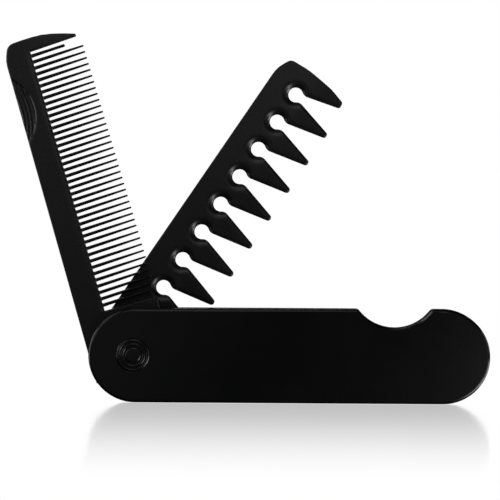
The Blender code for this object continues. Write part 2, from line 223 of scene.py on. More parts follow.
def case_tray():
    """Front face, outer sides, cavity floor, wall top and cavity walls, with their sharp edges broken."""
    walled, opened = case_outline()
    floor = FRONT + SIDE_THICKNESS
    inner = [
        (WALL_START, tray_low.z + WALL_THICKNESS),
        *arc(RIGHT_END, END_RADIUS - WALL_THICKNESS, -90, WALL_END_DEG),
    ]
    mesh = bmesh.new()

    def row(points, y):
        return [mesh.verts.new((x, y, z)) for x, z in points]

    front = rounded_face(mesh, walled + opened, FRONT, 1)
    rim = row([walled[0], *opened[::-1], walled[-1]], floor)
    top_outer, top_inner = row(walled, TRAY_DEPTH), row(inner, TRAY_DEPTH)
    foot = row(inner, floor)
    start, end, along = rim[0], rim[-1], rim[1:-1][::-1]
    n = len(walled)
    mesh.faces.new([start, *along[::-1], end, *foot[::-1]])
    mesh.faces.new([*top_inner, *top_outer[::-1]])
    for i in range(n - 1):
        sides = [start] if i == 0 else []
        ends = [end] if i == n - 2 else []
        mesh.faces.new([front[i + 1], front[i], *sides, top_outer[i], top_outer[i + 1], *ends])
    open_front, open_back = [*front[n - 1:], front[0]], [end, *along, start]
    for i in range(len(open_front) - 1):
        mesh.faces.new([open_front[i + 1], open_front[i], open_back[i], open_back[i + 1]])
    for i in range(len(inner) - 1):
        mesh.faces.new([foot[i], foot[i + 1], top_inner[i + 1], top_inner[i]])
    mesh.faces.new([start, foot[0], top_inner[0], top_outer[0]])
    mesh.faces.new([foot[-1], end, top_outer[-1], top_inner[-1]])
    bmesh.ops.recalc_face_normals(mesh, faces=mesh.faces)
    convex = [e for e in mesh.edges if e.is_manifold and e.is_convex]
    broken(mesh, [e for e in convex if e.calc_face_angle() > math.radians(BROKEN_FROM_DEG)])
    return bored(finished("case_front_shell", mesh))


tray = case_tray()
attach(tray, "case")
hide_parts("case_front")


class Value:
    """A socket in a shader's tree. Arithmetic on it adds Math nodes."""

    def __init__(self, tree, socket):
        self.tree = tree
        self.socket = socket

    def maths(self, operation, *given):
        return Shader(self.tree).maths(operation, *given)

    def __add__(self, other):
        return self.maths("ADD", self, other)

    def __radd__(self, other):
        return self.maths("ADD", other, self)

    def __sub__(self, other):
        return self.maths("SUBTRACT", self, other)

    def __rsub__(self, other):
        return self.maths("SUBTRACT", other, self)

    def __mul__(self, other):
        return self.maths("MULTIPLY", self, other)

    def __rmul__(self, other):
        return self.maths("MULTIPLY", other, self)

    def __pow__(self, other):
        return self.maths("POWER", self, other)

    def ramp(self, low, high):
        """0 at one value and 1 at another, smooth between them and flat outside."""
        inputs = {"Value": self, "From Min": low, "From Max": high}
        return Shader(self.tree).node("ShaderNodeMapRange", {"interpolation_type": "SMOOTHSTEP"}, inputs)


class Shader:
    """The node tree of a material or of the world."""

    def __init__(self, tree):
        self.tree = tree

    def node(self, kind, settings, inputs, out=0):
        """Any node: its type, its settings, then the values or links of its sockets."""
        made = self.tree.nodes.new(kind)
        for name, value in settings.items():
            setattr(made, name, value)
        for name, value in inputs.items():
            self.feed(made.inputs[name], value)
        return Value(self.tree, made.outputs[out]) if made.outputs else made

    def maths(self, operation, *given):
        """A Math node on one or more values or numbers."""
        return self.node("ShaderNodeMath", {"operation": operation}, dict(enumerate(given)))

    def split(self, vector):
        """The X, Y and Z of a vector."""
        axes = self.node("ShaderNodeSeparateXYZ", {}, {"Vector": vector}).socket.node.outputs
        return [Value(self.tree, axes[axis]) for axis in "XYZ"]

    def fed(self, target):
        """What a linked socket is fed with."""
        return Value(self.tree, target.links[0].from_socket)

    def feed(self, target, value):
        """Links a value to a socket, or writes a plain one in it."""
        if isinstance(value, Value):
            self.tree.links.new(value.socket, target)
        else:
            target.default_value = value

    def noise(self, where, scale, detail=2.0, roughness=0.5):
        """Noise about 0.5, its scale in waves for each metre."""
        inputs = {"Vector": where, "Scale": scale, "Detail": detail, "Roughness": roughness}
        return self.node("ShaderNodeTexNoise", {}, inputs)

    def blend(self, share, first, second):
        """A colour between two others."""
        inputs = {0: share, 6: (*first, 1.0), 7: (*second, 1.0)}
        return self.node("ShaderNodeMix", {"data_type": "RGBA"}, inputs, out=2)


# Patterns of the plastic, in waves for each metre, and their shares in its roughness and its relief
PLASTIC_IOR = 1.49
CLOUD_WAVES = 45.0
STREAK_WAVES = 260.0
SWELL_WAVES = 380.0
SWELL_SHARE = 0.25
CLOUD_DULLING = 0.05
SPECK_DULLING = 0.04
MEAN_DULLING = 0.04
STREAK_POLISH = 0.015
GRAIN_STRENGTH = 0.35


def moulded_plastic(name, dark, light, satin, grain, grain_depth, streak_length=8.0, streak_deg=0.0):
    """Black moulded plastic: clouded colour and gloss, the mould's fine grain, and faint rubbed streaks that
    run along the piece, which leans by an angle from the X axis."""
    made = bpy.data.materials.new(name)
    made.use_nodes = True
    shader = Shader(made.node_tree)
    surface = made.node_tree.nodes["Principled BSDF"].inputs
    surface["IOR"].default_value = PLASTIC_IOR
    where = shader.node("ShaderNodeTexCoord", {}, {}, out="Object")
    clouds = shader.noise(where, CLOUD_WAVES, detail=3.0, roughness=0.55)
    lean = {"Rotation": (0.0, -math.radians(streak_deg), 0.0), "Scale": (streak_length, 1.0, 1.0)}
    drawn = shader.node("ShaderNodeMapping", {"vector_type": "TEXTURE"}, {"Vector": where, **lean})
    streaks = shader.noise(drawn, STREAK_WAVES, detail=4.0, roughness=0.6).ramp(0.56, 0.74)
    specks = shader.noise(where, grain, detail=1.5)
    shader.feed(surface["Base Color"], shader.blend(clouds.ramp(0.3, 0.7), dark, light))
    rough = satin - MEAN_DULLING + CLOUD_DULLING * clouds + SPECK_DULLING * specks
    shader.feed(surface["Roughness"], rough - STREAK_POLISH * streaks)
    relief = specks + SWELL_SHARE * shader.noise(where, SWELL_WAVES)
    bump = {"Strength": GRAIN_STRENGTH, "Distance": grain_depth, "Height": relief}
    shader.feed(surface["Normal"], shader.node("ShaderNodeBump", {}, bump))
    return made


def dress(piece, material):
    """Gives the whole piece one material."""
    piece.data.materials.clear()
    piece.data.materials.append(material)


CASE_BLACK = moulded_plastic(
    "case_plastic_satin",
    dark=(0.0034, 0.0036, 0.0040),
    light=(0.0048, 0.0049, 0.0052),
    satin=0.20,
    grain=5200.0,
    grain_depth=0.006 * MM,
)
dress(tray, CASE_BLACK)

# The back plate of the case: a second moulding of the same plastic and outline, welded to the tray's wall.
# Its inner rim is only broken, so a thin shadow line runs along the weld.
plate_low, plate_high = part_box("case_back")


def case_plate():
    """A plate with the case's outline, rounded on its outer face."""
    walled, opened = case_outline()
    outline = [*walled, *opened]
    mesh = bmesh.new()
    inner = [mesh.verts.new((x, plate_low.y, z)) for x, z in outline]
    outer = rounded_face(mesh, outline, plate_high.y, -1)
    mesh.faces.new(inner)
    for i in range(len(outline)):
        mesh.faces.new((inner[i], inner[i - 1], outer[i - 1], outer[i]))
    bmesh.ops.recalc_face_normals(mesh, faces=mesh.faces)
    broken(mesh, [e for e in mesh.edges if all(v in inner for v in e.verts)])
    return bored(finished("case_back_shell", mesh))


plate = case_plate()
dress(plate, CASE_BLACK)
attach(plate, "case")
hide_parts("case_back")

# The pivot: a rivet pressed in from both sides. Each head is turned in steps: a button in the middle and two
# rounded rings about it, with sunk grooves between them. It is smoother than the case round it.
HEAD_RISE = 0.25 * MM
GROOVE_DEPTH = 0.34 * MM
LIP_ROUNDING = 0.28 * MM
HEAD_FACETS = 192

# The head's steps from the middle outwards, in rows of (inner radius, outer radius, rim's rounding, drop)
HEAD_STEPS = (
    (0.0, 2.50 * MM, 0.60 * MM, 0.06 * MM),
    (2.82 * MM, 3.72 * MM, 0.35 * MM, 0.0),
    (4.05 * MM, HEAD_RADIUS, 0.50 * MM, 0.0),
)


def rivet():
    """The shaft between two heads, from the middle of the front button to the middle of the back one."""
    face = FRONT - HEAD_RISE
    floor = face + GROOVE_DEPTH
    half = []
    for inner, outer, rim, drop in HEAD_STEPS:
        top = face + drop
        if inner:
            half += [(half[-1][0], floor), (inner, floor)]
            lip = (inner + LIP_ROUNDING, top + LIP_ROUNDING)
            half += arc(lip, LIP_ROUNDING, 180, 270, step_deg=15)
        else:
            half.append((0.0, top))
        fall = math.degrees(math.acos(max(1 - (floor - top) / rim, 0.0)))
        half += arc((outer - rim, top + rim), rim, -90, fall - 90, step_deg=6)
    under = FRONT + HEAD_SEAT - HEAD_CLEARANCE
    half += [(HEAD_RADIUS, under), (SHAFT_RADIUS, under)]
    whole = half + [(radius, -y) for radius, y in reversed(half)]
    return finished("pivot_rivet", turned(whole, HEAD_FACETS))


pin = rivet()
pin.location = PIVOT
dress(
    pin,
    moulded_plastic(
        "pin_plastic_smooth",
        dark=(0.0036, 0.0037, 0.0041),
        light=(0.0050, 0.0051, 0.0054),
        satin=0.19,
        grain=6000.0,
        grain_depth=0.003 * MM,
        streak_length=1.0,
    ),
)
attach(pin, "case")
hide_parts("pivot_pin")

# The fine blade: one thin moulding, flat along its spine, whose teeth narrow and thin towards rounded tips.
# The last tooth is short, a guard covers the end, and a ribbed recess in the spine takes the thumbnail.
FINE_OPEN_DEG = -frame["joints"][0]["range_deg"][0]
BLADE_HALF = 1.5 * MM
FINE_MIDDLE = sum(corner.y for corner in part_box("fine_comb")) / 2
HEEL_RADIUS = 11.5 * MM
SHOULDER = 5.3 * MM
HEEL_CORNER = 1.2 * MM
SHOULDER_CORNER = 0.15 * MM
EDGE_ROUNDING = 0.4 * MM
FINE_SPINE = 12.85 * MM
FINE_HEEL_END = 15.0 * MM
FINE_ROOT = 4.6 * MM
FINE_ROOT_RISE = 0.45 * MM
FINE_TEETH = 41
FINE_FIRST_TOOTH = 16.72 * MM
FINE_NEAR_TEETH = 10
FINE_NEAR_PITCH = 1.964 * MM
FINE_PITCH = 1.869 * MM
FINE_TIP_NEAR = 11.75 * MM
FINE_TIP_FAR = 10.85 * MM
FINE_SHORT_TOOTH = 94.3 * MM
FINE_SHORT_TIP = 5.5 * MM
TOOTH_ROOT_WIDTH = 1.06 * MM
TOOTH_MIDDLE_WIDTH = 0.86 * MM
TOOTH_TIP_WIDTH = 0.54 * MM
TOOTH_MIDDLE = -6.0 * MM
TOOTH_LEAN_DEG = 2.6
TOOTH_TIP_ROUNDNESS = 0.85
GAP_ROUNDING = 0.3 * MM
THIN_FROM = 6.0 * MM
ROOT_HALF = 1.25 * MM
TIP_HALF = 0.70 * MM
HEEL_BLEND = 1.0 * MM
GUARD_BLEND = 2.0 * MM

# End guard, corners in rows of (along, across, rounding)
FINE_GUARD = (
    (96.37 * MM, -9.61 * MM, 0.45 * MM),
    (97.22 * MM, -9.46 * MM, 0.45 * MM),
    (99.38 * MM, -2.60 * MM, 35.0 * MM),
    (99.88 * MM, 3.20 * MM, 45.0 * MM),
    (99.35 * MM, 11.05 * MM, 2.8 * MM),
    (94.80 * MM, FINE_SPINE, 9.0 * MM),
)
FINE_GUARD_INNER = 95.55 * MM

# Thumb recess: a segment of a circle, with ribs that run along the spine and bend a little with its wall
RECESS_AT = 79.5 * MM
RECESS_HALF_LENGTH = 10.4 * MM
RECESS_WIDTH = 4.9 * MM
RECESS_DEPTH = 0.5 * MM
RECESS_WALL = 0.65 * MM
RECESS_RADIUS = (RECESS_HALF_LENGTH**2 + RECESS_WIDTH**2) / (2 * RECESS_WIDTH)
RECESS_CENTRE = (RECESS_AT, FINE_SPINE - RECESS_WIDTH + RECESS_RADIUS)
RIBS = 4
FIRST_RIB = 1.0 * MM
RIB_SPACING = 1.05 * MM
RIB_HALF_WIDTH = 0.5 * MM
RIB_HEIGHT = 0.215 * MM


def bearing(start, stop):
    """The direction from one point to another, in degrees."""
    return math.degrees(math.atan2(stop[1] - start[1], stop[0] - start[0]))


def rounded(before, corner, after, radius):
    """Points of the arc that rounds a corner between its two neighbours."""
    heading = bearing(before, corner)
    turn = (bearing(corner, after) - heading + 180) % 360 - 180
    side = math.copysign(90, turn)
    reach = radius * math.tan(math.radians(abs(turn)) / 2)
    start = polar(corner, reach, heading + 180)
    centre = polar(start, radius, heading + side)
    return arc(centre, radius, heading - side, heading - side + turn, step_deg=12)


def softened(corners):
    """An outline from rows of (x, z) or (x, z, radius), with the longer rows rounded."""
    points = []
    for i, row in enumerate(corners):
        before = corners[i - 1][:2]
        after = corners[(i + 1) % len(corners)][:2]
        points += rounded(before, row[:2], after, row[2]) if len(row) > 2 else [row]
    return points


def heel(spine, heel_end):
    """Outline rows round a blade's pin, from the end of its spine to the lower corner of its heel."""
    meeting = math.degrees(math.acos(SHOULDER / HEEL_RADIUS))
    return [
        (-SHOULDER, spine, SHOULDER_CORNER),
        *arc((0.0, 0.0), HEEL_RADIUS, 180 - meeting, 270, step_deg=5),
        (heel_end, -HEEL_RADIUS, HEEL_CORNER),
    ]


def fine_outline():
    """The fine blade as it lies folded: spine up, teeth down, pin at (0, 0)."""
    root_half, middle_half = TOOTH_ROOT_WIDTH / 2, TOOTH_MIDDLE_WIDTH / 2
    lean = math.tan(math.radians(TOOTH_LEAN_DEG))
    teeth = []
    place = FINE_FIRST_TOOTH
    for k in range(FINE_TEETH):
        teeth.append((place, (FINE_TIP_NEAR - FINE_TIP_FAR) * k / (FINE_TEETH - 1) - FINE_TIP_NEAR))
        place += FINE_NEAR_PITCH if k < FINE_NEAR_TEETH else FINE_PITCH
    teeth.append((FINE_SHORT_TOOTH, -FINE_SHORT_TIP))
    rows = heel(FINE_SPINE, FINE_HEEL_END)
    gap_start = FINE_HEEL_END
    for place, tip in teeth:
        root = FINE_ROOT + FINE_ROOT_RISE * place / FINE_SHORT_TOOTH
        tip_at = place + lean * (root - tip)
        middle = max(TOOTH_MIDDLE, (root + tip) / 2)
        tip_half = (TOOTH_TIP_WIDTH if tip < TOOTH_MIDDLE else TOOTH_MIDDLE_WIDTH) / 2
        middle_at = place + lean * (root - middle)
        rows += [
            (gap_start, root, GAP_ROUNDING),
            (place - root_half, root, GAP_ROUNDING),
            (middle_at - middle_half, middle),
            (tip_at - tip_half, tip, tip_half * TOOTH_TIP_ROUNDNESS),
            (tip_at + tip_half, tip, tip_half * TOOTH_TIP_ROUNDNESS),
            (middle_at + middle_half, middle),
        ]
        gap_start = place + root_half
    root = FINE_ROOT + FINE_ROOT_RISE
    last_gap = [(gap_start, root, GAP_ROUNDING), (FINE_GUARD_INNER, root, GAP_ROUNDING)]
    return softened([*rows, *last_gap, *FINE_GUARD])


# Meshing of a blade: the edges of its rim, the places taken as one, the share of an offset at which a ring's
# point is kept, and the grid's clearance from the rings as a share of its spacing
LONGEST_EDGE = 0.5 * MM
SHORTEST_EDGE = 0.005 * MM
SAME_PLACE = 0.004 * MM
RING_KEPT = 0.96
GRID_CLEARANCE = 0.4
BORE_STEP_DEG = 7.5
BLADE_SHARP_DEG = 50.0


def ribbon(points, closed=True):
    """A band that stands on an outline, to measure distances to it."""
    near = [(x, -MM, z) for x, z in points]
    far = [(x, MM, z) for x, z in points]
    n = len(points)
    quads = [(i, (i + 1) % n, n + (i + 1) % n, n + i) for i in range(n if closed else n - 1)]
    return BVHTree.FromPolygons(near + far, quads)


def stretched(points):
    """The outline without repeated points and with its long edges divided."""
    made = []
    for i, here in enumerate(points):
        after = points[(i + 1) % len(points)]
        length = math.dist(here, after)
        parts = max(1, math.ceil(length / LONGEST_EDGE)) if length > SHORTEST_EDGE else 0
        step = (after[0] - here[0], after[1] - here[1])
        made += [(here[0] + step[0] * s / parts, here[1] + step[1] * s / parts) for s in range(parts)]
    return made


def moulded_blade(name, open_deg, outline, offsets, spacing, extra, depths):
    """A closed blade, opened about the pin. Rings of points follow its rim at the given offsets, a grid and
    extra points fill the middle, and depths gives its front and its back from a place and the distance to
    the rim."""
    loop = stretched(outline)
    rim = ribbon(loop)
    bore_radius = SHAFT_RADIUS + 2 * HEAD_CLEARANCE
    bore = arc((0.0, 0.0), bore_radius, 0, 360, BORE_STEP_DEG)[:-1]
    low, high = [[pick(p[axis] for p in loop) for axis in (0, 1)] for pick in (min, max)]

    def rim_distance(x, z):
        return rim.find_nearest((x, 0.0, z))[3]

    points = [*loop, *bore]
    for offset in offsets:
        for i, here in enumerate(loop):
            x, z = Vector(here) + inward(loop, i) * offset
            if rim_distance(x, z) > RING_KEPT * offset:
                points.append((x, z))
    for i in range(1, int((high[0] - low[0]) / spacing)):
        for j in range(1, int((high[1] - low[1]) / spacing)):
            x, z = low[0] + i * spacing, low[1] + (j + 0.5 * (i % 2)) * spacing
            inside = rim_distance(x, z) > offsets[-1] + GRID_CLEARANCE * spacing
            if inside and math.hypot(x, z) > bore_radius + spacing:
                points.append((x, z))
    points += extra
    n, m = len(loop), len(bore)
    edges = [(i, (i + 1) % n) for i in range(n)] + [(n + i, n + (i + 1) % m) for i in range(m)]
    filled = delaunay_2d_cdt([Vector(p) for p in points], edges, [], 1, SAME_PLACE)
    flat, faces, origins = filled[0], filled[2], filled[3]
    place = {given: made for made, givens in enumerate(origins) for given in givens}
    levels = [depths(p.x, p.y, rim_distance(p.x, p.y)) for p in flat]
    mesh = bmesh.new()
    near = [mesh.verts.new((p.x, level[0], p.y)) for p, level in zip(flat, levels)]
    far = [mesh.verts.new((p.x, level[1], p.y)) for p, level in zip(flat, levels)]
    for face in faces:
        middle = sum((flat[i] for i in face), Vector((0.0, 0.0))) / len(face)
        if middle.length > bore_radius - HEAD_CLEARANCE:
            mesh.faces.new([near[i] for i in face])
            mesh.faces.new([far[i] for i in reversed(face)])
    for start, count in ((0, n), (n, m)):
        for i in range(count):
            a, b = place[start + i], place[start + (i + 1) % count]
            if a != b:
                mesh.faces.new((near[b], near[a], far[a], far[b]))
    bmesh.ops.delete(mesh, geom=[v for v in mesh.verts if not v.link_faces], context="VERTS")
    bmesh.ops.recalc_face_normals(mesh, faces=mesh.faces)
    mesh.transform(Matrix.Translation(PIVOT) @ Matrix.Rotation(-math.radians(open_deg), 4, "Y"))
    return finished(name, mesh, BLADE_SHARP_DEG)


def rounding(distance, radius):
    """How far a rounded edge falls away at a distance from the rim."""
    short = max(radius - distance, 0.0)
    return radius - math.sqrt(radius**2 - short**2)


def recess_depth(x, z):
    """The thumb recess below the blade's face, its ribs included."""
    inside = RECESS_RADIUS - math.hypot(x - RECESS_CENTRE[0], z - RECESS_CENTRE[1])
    sunk = smooth(inside / RECESS_WALL)
    depth = RECESS_DEPTH * sunk
    across = (inside + z - (FINE_SPINE - RECESS_WIDTH)) / 2
    for k in range(RIBS):
        away = abs(FIRST_RIB + k * RIB_SPACING - across) / RIB_HALF_WIDTH
        depth -= RIB_HEIGHT * smooth(1 - away) * sunk
    return depth


def fine_depths(x, z, rim_distance):
    """The front and the back of the fine blade at a point."""
    toothed = smooth((x - FINE_HEEL_END) / HEEL_BLEND)
    shoulder = smooth((THIN_FROM - z) / (THIN_FROM - FINE_ROOT))
    shoulder *= smooth((FINE_GUARD_INNER + GUARD_BLEND / 2 - x) / GUARD_BLEND)
    towards_tip = min(max((FINE_ROOT - z) / (FINE_ROOT + FINE_TIP_NEAR), 0.0), 1.0)
    half = BLADE_HALF - toothed * (BLADE_HALF - ROOT_HALF) * shoulder
    half -= toothed * (ROOT_HALF - TIP_HALF) * towards_tip
    half -= rounding(rim_distance, EDGE_ROUNDING)
    return FINE_MIDDLE - half + recess_depth(x, z), FINE_MIDDLE + half


def recess_points(across, along):
    """Points in rows that follow the recess's wall and its ribs, at given distances across and along them."""
    highest = FINE_SPINE - EDGE_ROUNDING - across
    points = []
    for k in range(-1, round(RECESS_WALL / across) + 2):
        radius = RECESS_RADIUS - k * across
        for x, z in arc(RECESS_CENTRE, radius, 180, 360, math.degrees(along / radius)):
            if z < highest:
                points.append((x, z))
    for k in range(round((RECESS_WIDTH - RECESS_WALL) / across)):
        z = highest - k * across
        reach = RECESS_RADIUS - RECESS_WALL - 1.5 * across
        half = math.sqrt(max(reach**2 - (RECESS_CENTRE[1] - z) ** 2, 0.0))
        for i in range(round(2 * half / along)):
            points.append((RECESS_AT - half + (i + 0.5 * (k % 2)) * along, z))
    return points


fine_blade = moulded_blade(
    "fine_comb_blade",
    FINE_OPEN_DEG,
    fine_outline(),
    offsets=(0.03 * MM, 0.10 * MM, 0.20 * MM, 0.31 * MM, EDGE_ROUNDING, EDGE_ROUNDING + 0.12 * MM),
    spacing=0.9 * MM,
    extra=recess_points(across=0.1 * MM, along=0.35 * MM),
    depths=fine_depths,
)

# The fine teeth's painted shade (a darker colour) and their own polish, and the stretches at their roots and
# at the guard where these set in
TOOTH_PAINTED_SHADE = (0.001, 0.001, 0.001, 1.0)
TOOTH_SMOOTHER = 0.1
ROOT_FADE = 1.5 * MM
GUARD_FADE = 0.6 * MM


def blade_plastic(name, streak_deg):
    """The blades' plastic. Its colour is lighter than the case's: painted light, for the brighter light that
    falls on the blades.
    """
    return moulded_plastic(
        name,
        # Lighter than the case's colour: painted light
        dark=(0.0062, 0.0063, 0.0066),
        light=(0.0084, 0.0085, 0.0087),
        satin=0.27,
        grain=4800.0,
        grain_depth=0.005 * MM,
        streak_deg=streak_deg,
    )


def shade_painted_teeth(material):
    """Paints shade on the fine teeth, a darker colour than the flat part of their blade, and makes them
    smoother.
    """
    shader = Shader(material.node_tree)
    surface = material.node_tree.nodes["Principled BSDF"].inputs
    where = shader.node("ShaderNodeTexCoord", {}, {}, out="Object")
    opening = {"Location": PIVOT, "Rotation": (0.0, -math.radians(FINE_OPEN_DEG), 0.0)}
    folded = shader.node("ShaderNodeMapping", {"vector_type": "TEXTURE"}, {"Vector": where, **opening})
    along, _, across = shader.split(folded)
    below_root = (FINE_ROOT - across).ramp(0.0, ROOT_FADE)
    past_heel = along.ramp(FINE_HEEL_END, FINE_HEEL_END + HEEL_BLEND)
    before_guard = 1 - along.ramp(FINE_GUARD_INNER - GUARD_FADE, FINE_GUARD_INNER)
    toothed = below_root * past_heel * before_guard
    # Painted shade: the teeth get a darker colour than the blade's face
    colours = {0: toothed, 6: shader.fed(surface["Base Color"]), 7: TOOTH_PAINTED_SHADE}
    mixed = shader.node("ShaderNodeMix", {"data_type": "RGBA"}, colours, out=2)
    shader.feed(surface["Base Color"], mixed)
    shader.feed(surface["Roughness"], shader.fed(surface["Roughness"]) - TOOTH_SMOOTHER * toothed)
    return material


dress(fine_blade, shade_painted_teeth(blade_plastic("fine_blade_plastic_satin", FINE_OPEN_DEG)))
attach(fine_blade, "fine_comb")
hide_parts("fine_comb")

# The wide blade: a moulding as thick as the fine one, with eight round holes that open through necks into
# flaring slots. Its surface falls away towards holes and slots, so the pointed teeth are thin at their edges.
WIDE_OPEN_DEG = -frame["joints"][1]["range_deg"][0]
WIDE_MIDDLE = sum(corner.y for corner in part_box("wide_comb")) / 2
WIDE_SPINE = 13.2 * MM
WIDE_GAPS = 8
WIDE_PITCH = 10.16 * MM
WIDE_PITCH_FALL = 0.05 * MM
WIDE_FIRST_HOLE = 21.7 * MM
HOLE_RADIUS = 2.2 * MM
HOLE_RISE = 3.9 * MM
SLOT_HALF_WIDTH = 1.54 * MM
SLOT_FLARE = 0.248
SLOT_LEAN_NEAR = 0.052
SLOT_LEAN_FAR = 0.009
NECK_ROUNDING = 2.4 * MM
WIDE_TIP_NEAR = 11.28 * MM
WIDE_TIP_FAR = 10.68 * MM
SINK = 0.76 * MM
SINK_WIDTH = 2.25 * MM
FALL = 0.25 * MM
FALL_WIDTH = 1.3 * MM
WIDE_TIP_THINNER = 0.45 * MM
WIDE_HEEL_BLEND = 4.0 * MM
GAP_EDGE_ROUNDING = 0.25 * MM

# End guard, corners in rows of (along, across, rounding)
WIDE_GUARD = (
    (95.80 * MM, -9.35 * MM, 0.8 * MM),
    (97.75 * MM, -9.15 * MM, 0.9 * MM),
    (99.25 * MM, -4.00 * MM, 14.0 * MM),
    (100.15 * MM, 4.50 * MM, 20.0 * MM),
    (99.75 * MM, 11.05 * MM, 2.0 * MM),
    (95.30 * MM, WIDE_SPINE, 9.0 * MM),
)


def wide_gap_place(k):
    """How far along the blade a gap's hole lies, and the lean of its slot."""
    place = WIDE_FIRST_HOLE + k * WIDE_PITCH - WIDE_PITCH_FALL * k * (k - 1) / 2
    return place, SLOT_LEAN_NEAR + (SLOT_LEAN_FAR - SLOT_LEAN_NEAR) * k / (WIDE_GAPS - 1)


def wide_gap(k):
    """Points of one hole with its neck, from the slot's left edge over the top to its right edge."""
    place, lean = wide_gap_place(k)
    hole = (place, HOLE_RISE)
    shoulders = []
    for side in (-1, 1):
        slope = side * SLOT_FLARE - lean
        length = math.hypot(1, slope)
        up = (-slope / length, 1 / length)
        inwards = (side / length, side * slope / length)
        start = (hole[0] + side * SLOT_HALF_WIDTH + NECK_ROUNDING * inwards[0], NECK_ROUNDING * inwards[1])
        away = (start[0] - hole[0], start[1] - hole[1])
        along = away[0] * up[0] + away[1] * up[1]
        apart = (HOLE_RADIUS + NECK_ROUNDING) ** 2 - away[0] ** 2 - away[1] ** 2
        rise = -along - math.sqrt(along**2 + apart)
        centre = (start[0] + rise * up[0], start[1] + rise * up[1])
        foot = (centre[0] - NECK_ROUNDING * inwards[0], centre[1] - NECK_ROUNDING * inwards[1])
        shoulders.append((centre, bearing(centre, foot) % 360, bearing(centre, hole) % 360))
    (left, left_foot, left_top), (right, right_foot, right_top) = shoulders
    return [
        *arc(left, NECK_ROUNDING, left_foot - 360, left_top, step_deg=6),
        *arc(hole, HOLE_RADIUS, left_top + 180, right_top - 180, step_deg=6)[1:-1],
        *arc(right, NECK_ROUNDING, right_top, right_foot, step_deg=6),
    ]


def wide_tooth(k):
    """The rounded point between gap k and the next one, as one outline row."""
    (left, left_lean), (right, right_lean) = wide_gap_place(k), wide_gap_place(k + 1)
    left += SLOT_HALF_WIDTH
    right -= SLOT_HALF_WIDTH
    left_slope = SLOT_FLARE - left_lean
    right_slope = -SLOT_FLARE - right_lean
    depth = (right - left) / (left_slope - right_slope)
    half_angle = (math.atan(left_slope) - math.atan(right_slope)) / 2
    tip = WIDE_TIP_NEAR + (WIDE_TIP_FAR - WIDE_TIP_NEAR) * k / (WIDE_GAPS - 1)
    radius = (depth - tip) / (1 / math.sin(half_angle) - 1)
    return (left + left_slope * depth, -depth, radius)


def wide_toothed():
    """Outline rows of the holes, slots and teeth."""
    rows = []
    for k in range(WIDE_GAPS):
        rows += wide_gap(k)
        if k < WIDE_GAPS - 1:
            rows.append(wide_tooth(k))
    return rows


WIDE_HEEL_END = WIDE_FIRST_HOLE - SLOT_HALF_WIDTH - (SLOT_FLARE + SLOT_LEAN_NEAR) * HEEL_RADIUS
WIDE_HOLES = [(wide_gap_place(k)[0], HOLE_RISE) for k in range(WIDE_GAPS)]
gap_side = [(WIDE_HEEL_END, -HEEL_RADIUS), *wide_toothed(), WIDE_GUARD[0][:2]]
wide_gap_rim = ribbon(softened(gap_side), closed=False)


def wide_depths(x, z, rim_distance):
    """The front and the back of the wide blade at a point."""
    gap_distance = wide_gap_rim.find_nearest((x, 0.0, z))[3]
    toothed = smooth((x - WIDE_HEEL_END + WIDE_HEEL_BLEND / 2) / WIDE_HEEL_BLEND)
    half = BLADE_HALF - toothed * FALL * max(1 - gap_distance / FALL_WIDTH, 0.0) ** 2
    hole_distance = min(math.dist((x, z), hole) for hole in WIDE_HOLES) - HOLE_RADIUS
    half -= SINK * min(max(1 - hole_distance / SINK_WIDTH, 0.0), 1.0) ** 2
    half -= WIDE_TIP_THINNER * smooth((HOLE_RISE / 2 - z) / (HOLE_RISE / 2 + WIDE_TIP_NEAR)) * toothed
    half -= rounding(rim_distance, GAP_EDGE_ROUNDING)
    return WIDE_MIDDLE - half, WIDE_MIDDLE + half


wide_blade = moulded_blade(
    "wide_comb_blade",
    WIDE_OPEN_DEG,
    softened([*heel(WIDE_SPINE, WIDE_HEEL_END), *wide_toothed(), *WIDE_GUARD]),
    offsets=(0.03 * MM, 0.10 * MM, GAP_EDGE_ROUNDING, 0.45 * MM, 0.75 * MM, 1.1 * MM, 1.5 * MM),
    spacing=0.45 * MM,
    extra=[],
    depths=wide_depths,
)
dress(wide_blade, blade_plastic("wide_blade_plastic_satin", WIDE_OPEN_DEG))
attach(wide_blade, "wide_comb")
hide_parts("wide_comb")

# The table: white glossy acrylic in bright light. It mirrors the comb near its foot, fades to plain white
# away from it, and lets through the lamps below its level.
WHITE = (1.0, 1.0, 1.0, 1.0)
ACRYLIC_IOR = 1.5
TABLE_REACH = 4.0
TABLE_GAP = 0.02 * MM
FOOT_HALF_LENGTH = RIGHT_END[0]
MIRROR_SHARE = 0.66
MIRROR_REACH = 0.32
MIRROR_ROUGHNESS = 0.09
MIRROR_END_SPREAD = 0.3

# Under the comb the mirror is weaker, and it comes up to its full share between these distances
UNDER_SHARE = 0.4
UNDER_EDGE = (5.5 * MM, 9.0 * MM)

sheet = bmesh.new()
corners = [polar((0.0, 0.0), TABLE_REACH, 45 + 90 * k) for k in range(4)]
sheet.faces.new([sheet.verts.new((x, y, cad_low.z - TABLE_GAP)) for x, y in corners])
table = finished("table", sheet)


def bare_material(name):
    """A material without nodes, and the shader to fill it."""
    made = bpy.data.materials.new(name)
    made.use_nodes = True
    made.node_tree.nodes.clear()
    return made, Shader(made.node_tree)


